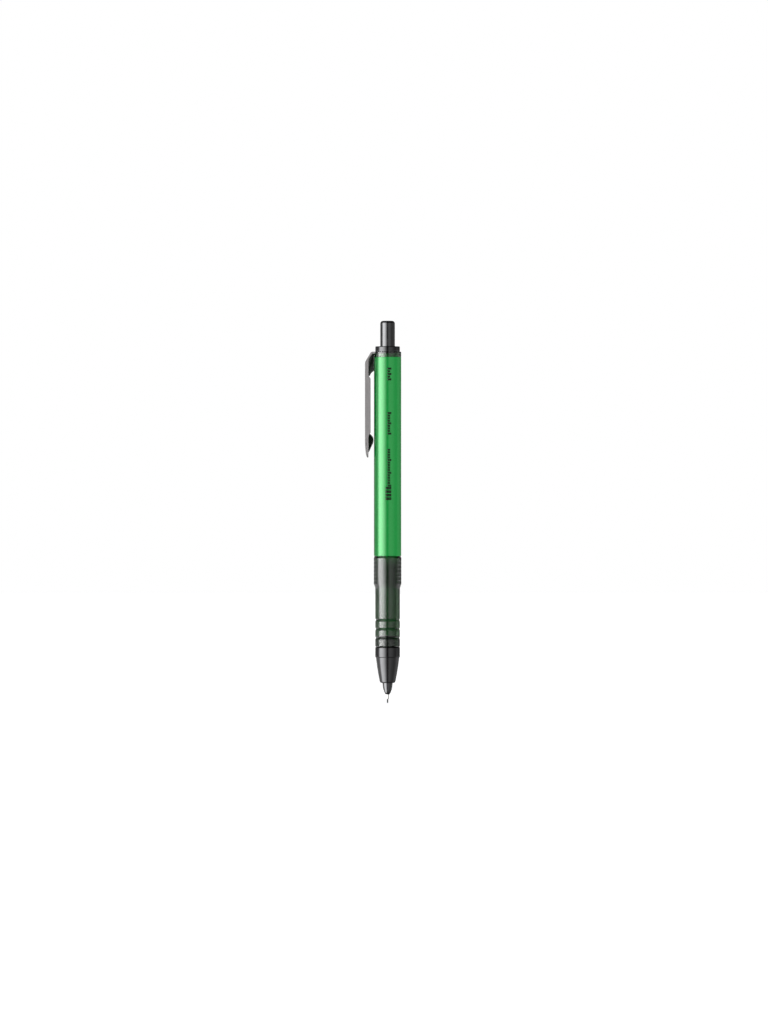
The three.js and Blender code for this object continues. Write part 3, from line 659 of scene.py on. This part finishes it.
def clipBase():
    _, top, radius = span("clip_base")
    w = wedge
    rim = span("barrel")[1] - w["ringFoot"]
    inside, touching = -radius + w["overlap"], -radius - 0.01  # in the ring, and against the barrel
    ring = turnedForm([(w["neckBore"], rim), (radius, rim, 0.02), (radius, top, 0.15), (w["bore"], top, 0.05),
                       (w["bore"], w["lipFoot"]), (w["neckBore"], w["lipFoot"])], sides=128)
    block = plateForm([
        (inside, top - 0.02), (w["shoulderX"], top - 0.02), (w["backX"], w["bendZ"], 0.2),
        (w["backX"], w["toeZ"], 0.15), (w["innerX"] - 0.35, w["toeZ"], 0.15),
        (w["innerX"] + 0.1, w["toeZ"] + 1.0, 0.3), (-radius - 0.3, w["toeZ"] + 1.75, 0.2),
        (touching, w["toeZ"] + 1.95), (touching, rim), (inside, rim + 0.02),
    ], w["width"], edge=w["edge"])
    floor, above = top - w["slotDepth"], top + 1
    slot = plateForm([(w["slotToX"], above), (w["slotFromX"], above), (w["slotFromX"], floor),
                      (w["slotToX"], floor)], w["slotWidth"])
    piece = newPiece("clipBaseRing", ring)
    combine(piece, newPiece("wedgeBlock", block), "UNION")
    combine(piece, newPiece("hookSlot", slot), "DIFFERENCE")
    shade(piece.data, 30)
    standFor(piece, "clip_base", "smokedPolycarbonate", weighted=False)


# Thickness and bends of the sheet, then x and z of the bends of its back and of its flanges' edges. The flanges
# are deep between the wedge's toe and the pad, and shallow beside them.
strap = {"sheet": 0.4, "outerBend": 0.4, "innerBend": 0.2, "rim": 0.07, "bend": 126.7, "shoulder": -6.1,
         "slopeFoot": 127.8, "flange": -7.1, "toe": 121.5, "padTop": 100.4, "taper": 95.8, "padEnd": 93.2,
         "end": -7.6, "edge": -6.3, "lean": 0.25}


def clipStrap():
    low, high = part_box("clip_strap")
    back, hook, foot, top, width = low.x / mm, high.x / mm, low.z / mm, high.z / mm, high.y / mm * 2
    p = strap
    sheet, level = p["sheet"], p["sheet"] / 0.85  # the sheet's own thickness, and measured level on the slope
    inner = width - 2 * sheet
    piece = newPiece("clipStrapSteel", plateForm([
        (p["shoulder"], top, 0.5), (back, p["bend"], 0.6), (back, p["taper"], 2),
        (back + p["lean"], p["padEnd"], 1.5), (back + 0.45, foot + 0.8, 0.5), (p["end"], foot, 0.2),
        (p["end"] + 0.45, foot, 0.15), (p["flange"], foot + 0.7, 0.5), (p["flange"], p["padTop"] - 1.2, 0.3),
        (p["edge"], p["padTop"], 0.4), (p["edge"], p["toe"] - 0.9, 0.4), (p["flange"], p["toe"] + 0.1, 0.3),
        (p["flange"], p["slopeFoot"], 0.4),
        (p["shoulder"] + 0.55, top - sheet), (p["shoulder"] + 0.5, top),
    ], width, steps=6))
    channel = plateForm([
        (p["shoulder"] + level, top + 0.01, 0.2), (back + sheet, p["bend"] - 0.15, 0.5),
        (back + sheet, p["taper"] - 0.1, 2), (back + sheet + p["lean"], p["padEnd"], 1.5),
        (p["end"] + 0.2, foot + 0.9), (hook, foot + 0.9), (hook, top + 0.01),
    ], inner, steps=6)
    # seen from the front, the foot ends in a half circle
    front = plateForm([(-width / 2, foot, width / 2), (width / 2, foot, width / 2), (width / 2, top + 0.5),
                       (-width / 2, top + 0.5)], width * 3, steps=20)
    bmesh.ops.rotate(front, verts=front.verts[:], cent=(0, 0, 0), matrix=Matrix.Rotation(math.pi / 2, 3, "Z"))
    bmesh.ops.translate(front, verts=front.verts[:], vec=(back * mm, 0, 0))
    tongue = plateForm([(hook, top - sheet), (hook, top), (p["shoulder"] + 0.3, top),
                        (p["shoulder"] - 0.05, top - sheet)], inner + 0.02)
    combine(piece, newPiece("channel", channel), "DIFFERENCE")
    combine(piece, newPiece("front", front), "INTERSECT")
    combine(piece, newPiece("tongue", tongue), "UNION")

    # the long folds are rounded last, the outer ones more than the inner
    form = bmesh.new()
    form.from_mesh(piece.data)
    bmesh.ops.remove_doubles(form, verts=form.verts[:], dist=0.001 * mm)
    for side, place, size in ((-1, width / 2, p["outerBend"]), (1, inner / 2, p["innerBend"])):
        folds = [e for e in form.edges if len(e.link_faces) == 2
                 and all(abs(abs(v.co.y) - place * mm) < 0.003 * mm for v in e.verts)
                 and max(abs(f.normal.y) for f in e.link_faces) > 0.9
                 and max(side * f.normal.x for f in e.link_faces) > 0.5]
        bmesh.ops.bevel(form, geom=folds, offset=size * mm, offset_type="OFFSET", affect="EDGES", segments=5,
                        profile=0.5, material=-1, clamp_overlap=True)
    tidied(form).to_mesh(piece.data)
    form.free()
    shade(piece.data, 30)
    rims = piece.modifiers.new("rims", "BEVEL")
    rims.width, rims.segments = p["rim"] * mm, 2
    rims.limit_method, rims.angle_limit = "ANGLE", math.radians(35)
    standFor(piece, "clip_strap", "brushedNickel")


# The pad bears on the barrel at its apex, and its back follows the strap.
pad = {"width": 2.6, "edge": 0.15, "taper": 95.8, "lean": 0.25, "apexZ": 97.7, "flangeX": -6.95, "innerX": -6.3}


def clipPad():
    low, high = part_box("clip_pad")
    backX, bottom, top, apexX = low.x / mm, low.z / mm, high.z / mm, high.x / mm
    p = pad
    form = plateForm([
        (backX, top, 0.1), (backX, p["taper"]), (backX + p["lean"], bottom, 0.1), (p["flangeX"], bottom, 0.15),
        (apexX - 0.25, p["apexZ"] - 1.1, 0.3), (apexX, p["apexZ"], 0.6), (apexX - 0.25, p["apexZ"] + 1.1, 0.3),
        (p["innerX"], p["apexZ"] + 2.1, 0.2), (p["flangeX"], top, 0.15),
    ], p["width"], edge=p["edge"])
    standFor(newPiece("clipPadMoulding", form), "clip_pad", "smokedPolycarbonate")


# Three plain scales of tick marks down the front, with no letters or numbers. The last ends in a coarse foot,
# whose ticks are all long. Each row gives bottom, count, pitch, a tick's height, and which ticks are long.
marks = {"rows": ((119.8, 5, 1.0, 0.75, 2), (99.7, 9, 0.95, 0.72, 4), (80.4, 15, 0.95, 0.72, 5),
                  (75.4, 4, 1.3, 1.0, 1)),
         "start": -1, "short": 12, "long": 17, "coarse": 8,  # in degrees round the barrel
         "clearance": 0.012, "thick": 0.005}


def printedMarks():
    radius = (span("barrel")[2] + marks["clearance"]) * mm
    form = bmesh.new()
    for bottom, count, pitch, height, longEvery in marks["rows"]:
        coarse = marks["coarse"] if longEvery == 1 else 0
        for i in range(count):
            z = (bottom + i * pitch) * mm
            sweep = coarse + (marks["long"] if i % longEvery == 0 else marks["short"])
            start = Matrix.Rotation(math.radians(marks["start"] - coarse - 90), 3, "Z") @ Vector((radius, 0, 0))
            edge = [form.verts.new((start.x, start.y, z)), form.verts.new((start.x, start.y, z + height * mm))]
            bmesh.ops.spin(form, geom=edge + [form.edges.new(edge)], cent=(0, 0, 0), axis=(0, 0, 1),
                           angle=math.radians(sweep), steps=6, use_duplicate=False)
    bmesh.ops.recalc_face_normals(form, faces=form.faces[:])
    piece = newPiece("barrelMarks", form)
    film = piece.modifiers.new("film", "SOLIDIFY")
    film.thickness, film.offset = marks["thick"] * mm, 1
    piece.data.materials.append(finishes["printedInk"])
    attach(piece, bodyOf["barrel"])


barrelTube()
gripSleeve()
noseCone()
collarBush()
buttonCap()
print("outer shells made")
clipBase()
clipStrap()
clipPad()
printedMarks()
print("clip and marks made")
tipBullet()
guidePipe()
retainerRubber()
tipBush()
clutchRing()
chuckJaws()
chuckHousing()
connector()
magazine()
leadStick("lead", "writingLead")
for number in (1, 2, 3):
    leadStick(f"spare_lead_{number}", f"spareLead{number}")
eraserPlug()
for node in springs:
    springCoil(node)
print("inner pieces made")

# A light tent, seen only as light and in reflections. Its brightness goes round the pencil in degrees from the
# camera's side: a tall soft box on the left, a weak one on the right and dark gaps between. It fades overhead and
# underfoot, so the sides of grooves and chamfers show dark lines.
tent = {
    "strength": 6.0,
    "round": ((-180, 0.01), (-150, 0.03), (-126, 0.06), (-106, 0.05), (-94, 0.12), (-86, 0.34), (-78, 0.92),
              (-70, 1.03), (-61, 1.02), (-51, 0.92), (-42, 0.78), (-32, 0.55), (-20, 0.27), (-11, 0.09),
              (-4, 0.005), (3, 0.01), (9, 0.07), (17, 0.1), (27, 0.1), (45, 0.08), (60, 0.05), (75, 0.035),
              (86, 0.035), (97, 0.07), (122, 0.035), (150, 0.015), (180, 0.01)),
    # the same from just below the horizon down, where it is seen in what slopes to the ground
    "below": ((-180, 0.08), (-150, 0.14), (-126, 0.12), (-94, 0.2), (-86, 0.42), (-78, 0.98), (-70, 1.0),
              (-61, 0.96), (-51, 0.9), (-42, 0.78), (-32, 0.55), (-20, 0.27), (-11, 0.09), (-4, 0.01), (9, 0.06),
              (22, 0.11), (45, 0.07), (75, 0.05), (95, 0.08), (112, 0.12), (130, 0.09), (150, 0.04), (180, 0.08)),
    # The upward part of a direction where "below" goes over into "round", then where the tent begins to fade and
    # where it has faded, overhead and underfoot, and how much is left there.
    "horizon": (-0.075, -0.035), "above": (0.25, 0.45), "under": (-0.58, -0.8), "overhead": 0.12,
    "fill": (0.45, -0.85, 0.25), "fillLow": 0.3, "fillHigh": 1.15,  # soft light from the front, for matt surfaces
}


def lightTent():
    world = bpy.data.worlds.new("lightTent")
    bpy.context.scene.world = world
    world.use_nodes = True
    world.cycles.sampling_method = "NONE"  # each ray then sees the one light that is meant for it
    tree = world.node_tree
    direction = addNode(tree, "TexCoord").outputs["Generated"]
    parts = addNode(tree, "SeparateXYZ", {0: direction})
    away = addNode(tree, "Math", {0: parts.outputs["Y"], 1: -1.0}, operation="MULTIPLY")
    around = addNode(tree, "Math", {0: parts.outputs["X"], 1: away}, operation="ARCTAN2")
    share = addNode(tree, "MapRange", {"Value": around, "From Min": -math.pi, "From Max": math.pi})
    rings = []
    for levels in (tent["below"], tent["round"]):
        ring = addNode(tree, "ValToRGB", {"Fac": share})
        stops = ring.color_ramp.elements
        for angle, level in levels[1:-1]:
            stops.new((angle + 180) / 360).color = (level, level, level, 1)
        for stop, (_, level) in ((stops[0], levels[0]), (stops[-1], levels[-1])):
            stop.color = (level, level, level, 1)
        rings.append(ring)
    level = addNode(tree, "MapRange", {"Value": parts.outputs["Z"], "From Min": tent["horizon"][0],
                                       "From Max": tent["horizon"][1]})
    ring = addNode(tree, "Mix", {0: level, 6: rings[0], 7: rings[1]}, **mixed)
    above, under = (
        addNode(tree, "MapRange", {"Value": parts.outputs["Z"], "From Min": start, "From Max": end, "To Min": 1.0,
                                   "To Max": tent["overhead"]}, interpolation_type="SMOOTHSTEP")
        for start, end in (tent["above"], tent["under"]))
    fade = addNode(tree, "Math", {0: above, 1: under}, operation="MULTIPLY")
    strength = addNode(tree, "Math", {0: fade, 1: tent["strength"]}, operation="MULTIPLY")
    soft = addNode(tree, "Background", {"Color": ring, "Strength": strength})
    facing = addNode(tree, "VectorMath", {0: direction, 1: tent["fill"]}, operation="DOT_PRODUCT")
    matt = addNode(tree, "MapRange", {"Value": facing.outputs["Value"], "To Min": tent["fillLow"],
                                      "To Max": tent["fillHigh"]})
    fill = addNode(tree, "Background", {"Color": (1, 1, 1, 1), "Strength": matt})
    paper = addNode(tree, "Background", {"Color": (1, 1, 1, 1), "Strength": 1.0})
    path = addNode(tree, "LightPath")
    scattered = addNode(tree, "Math", {0: path.outputs["Diffuse Depth"], 1: 1.0}, operation="MINIMUM")
    lit = addNode(tree, "MixShader", {0: scattered, 1: soft, 2: fill})
    both = addNode(tree, "MixShader", {0: path.outputs["Is Camera Ray"], 1: lit, 2: paper})
    fillIn(tree.nodes["World Output"], {"Surface": both})


def paperFloor():
    form = bmesh.new()
    bmesh.ops.create_grid(form, x_segments=1, y_segments=1, size=4)
    bmesh.ops.translate(form, verts=form.verts[:], vec=(0, 0, -0.05 * mm))
    floor = newPiece("paperFloor", form)
    material, tree, shader, place = startMaterial("whiteCard")
    fibres = addNode(tree, "TexNoise", {"Vector": place, "Scale": perMetre(0.6), "Detail": 4.0})
    card = addNode(tree, "Mix", {0: fibres, 6: toLinear("#f4f4f4"), 7: toLinear("#fafafa")}, **mixed)
    fillIn(shader, {"Base Color": card, "Roughness": 0.9, "Emission Color": (1, 1, 1, 1), "Emission Strength": 0.6})
    floor.data.materials.append(material)
    floor.visible_glossy = False


# A long lens from straight ahead. The view's height and centre are at the pencil.
shot = {"distance": 3000, "viewHeight": 380.6, "sensor": 36, "centreX": -1.33, "centreZ": 70.96}


def frontCamera():
    data = bpy.data.cameras.new("camera")
    data.sensor_width = shot["sensor"]
    data.lens = shot["sensor"] * shot["distance"] / shot["viewHeight"]
    camera = bpy.data.objects.new("camera", data)
    camera.location = Vector((shot["centreX"], -shot["distance"], shot["centreZ"])) * mm
    camera.rotation_euler = (math.pi / 2, 0, 0)
    data.clip_end = 20
    bpy.context.scene.collection.objects.link(camera)
    bpy.context.scene.camera = camera


lightTent()
paperFloor()
frontCamera()
bpy.context.scene.view_settings.view_transform = "Standard"
print("tent, floor and camera placed")
